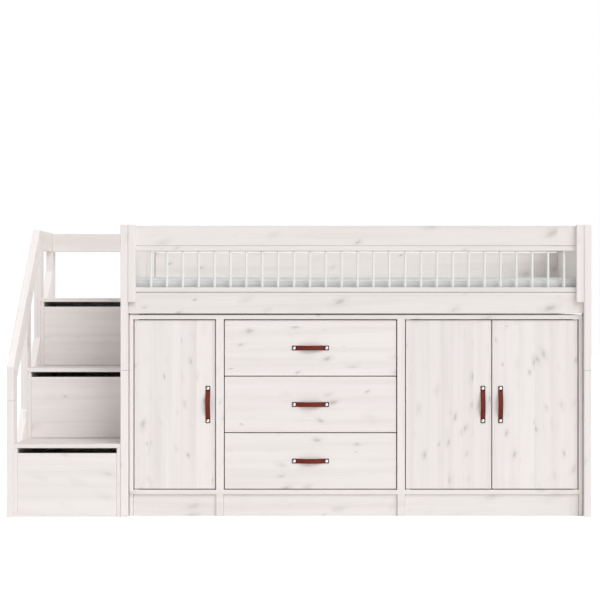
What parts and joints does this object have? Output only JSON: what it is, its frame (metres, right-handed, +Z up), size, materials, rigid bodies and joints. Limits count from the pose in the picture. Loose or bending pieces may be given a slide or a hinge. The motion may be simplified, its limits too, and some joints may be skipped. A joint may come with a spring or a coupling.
{
  "type": "loft bed",
  "caption": "Half-high loft bed with a spindle guard, side stairs with pull-out drawers, and door and drawer cabinets under the mattress; leather strap pulls.",
  "frame": {"origin": "on the floor, in the middle of the whole part's plan", "axes": "+X along the bed, from the stairs towards the far end; +Y from the fronts to the wall side; +Z up"},
  "size_m": [2.57, 0.99, 1.285],
  "materials": {
    "frame_pine": "white-washed solid pine, satin, faint grain and grey knots",
    "cabinet_pine": "white-washed glued pine staves, satin",
    "inner_pine": "plain sanded pine",
    "leather_strap": "reddish brown leather, waxed",
    "bright_stud": "polished",
    "pivot_steel": "zinc plated",
    "mattress_cover": "white woven cotton cover"
  },
  "bodies": {
    "bed": {"lower_legs": "frame_pine", "upper_posts": "frame_pine", "guard_battens": "frame_pine", "front_top_board": "frame_pine", "spindle_rails": "frame_pine", "guard_spindles": "frame_pine", "front_side_rail": "frame_pine", "rear_boards": "frame_pine", "right_end_boards": "frame_pine", "left_end_boards": "frame_pine", "entry_post": "frame_pine", "slat_ledges": "inner_pine", "bed_slats": "inner_pine", "mattress": "mattress_cover", "stair_front_post": "frame_pine", "stair_handrail": "frame_pine", "stair_top_board": "frame_pine", "stair_balusters": "frame_pine", "stair_stringer": "frame_pine", "stair_rear_post": "frame_pine", "stair_rear_rail": "frame_pine", "post_tenons": "inner_pine", "stair_side_panels": "frame_pine", "stair_treads": "frame_pine", "stair_back_panel": "frame_pine", "door_pivots": "pivot_steel", "cabinet_tops": "cabinet_pine", "cabinet_bottoms": "cabinet_pine", "cabinet_sides": "cabinet_pine", "cabinet_backs": "cabinet_pine", "cabinet_plinths": "cabinet_pine", "cabinet_shelves": "cabinet_pine", "drawer_runners": "inner_pine"},
    "small_door": {"small_door_strap": "leather_strap", "small_door_studs": "bright_stud", "small_door": "cabinet_pine"},
    "left_door": {"left_door_strap": "leather_strap", "left_door_studs": "bright_stud", "left_door": "cabinet_pine"},
    "right_door": {"right_door_strap": "leather_strap", "right_door_studs": "bright_stud", "right_door": "cabinet_pine"},
    "chest_drawer_1": {"chest_drawer_1_strap": "leather_strap", "chest_drawer_1_studs": "bright_stud", "chest_drawer_1_front": "cabinet_pine", "chest_drawer_1_box": "inner_pine"},
    "chest_drawer_2": {"chest_drawer_2_strap": "leather_strap", "chest_drawer_2_studs": "bright_stud", "chest_drawer_2_front": "cabinet_pine", "chest_drawer_2_box": "inner_pine"},
    "chest_drawer_3": {"chest_drawer_3_strap": "leather_strap", "chest_drawer_3_studs": "bright_stud", "chest_drawer_3_front": "cabinet_pine", "chest_drawer_3_box": "inner_pine"},
    "stair_drawer_1": {"stair_drawer_1_front": "cabinet_pine", "stair_drawer_1_box": "inner_pine"},
    "stair_drawer_2": {"stair_drawer_2_front": "cabinet_pine", "stair_drawer_2_box": "inner_pine"},
    "stair_drawer_3": {"stair_drawer_3_front": "cabinet_pine", "stair_drawer_3_box": "inner_pine"}
  },
  "joints": [
    {"name": "small_door_hinge", "type": "hinge", "parent": "bed", "child": "small_door", "pos_m": [-0.719, -0.449, 0.4925], "axis": [0, 0, -1], "range_deg": [0, 90]},
    {"name": "left_door_hinge", "type": "hinge", "parent": "bed", "child": "left_door", "pos_m": [0.48, -0.449, 0.4925], "axis": [0, 0, -1], "range_deg": [0, 90]},
    {"name": "right_door_hinge", "type": "hinge", "parent": "bed", "child": "right_door", "pos_m": [1.219, -0.449, 0.4925], "axis": [0, 0, 1], "range_deg": [0, 90]},
    {"name": "chest_drawer_1_slide", "type": "slide", "parent": "bed", "child": "chest_drawer_1", "axis": [0, -1, 0], "range_m": [0, 0.3]},
    {"name": "chest_drawer_2_slide", "type": "slide", "parent": "bed", "child": "chest_drawer_2", "axis": [0, -1, 0], "range_m": [0, 0.3]},
    {"name": "chest_drawer_3_slide", "type": "slide", "parent": "bed", "child": "chest_drawer_3", "axis": [0, -1, 0], "range_m": [0, 0.3]},
    {"name": "stair_drawer_1_slide", "type": "slide", "parent": "bed", "child": "stair_drawer_1", "axis": [0, -1, 0], "range_m": [0, 0.4]},
    {"name": "stair_drawer_2_slide", "type": "slide", "parent": "bed", "child": "stair_drawer_2", "axis": [0, -1, 0], "range_m": [0, 0.4]},
    {"name": "stair_drawer_3_slide", "type": "slide", "parent": "bed", "child": "stair_drawer_3", "axis": [0, -1, 0], "range_m": [0, 0.2]}
  ]
}
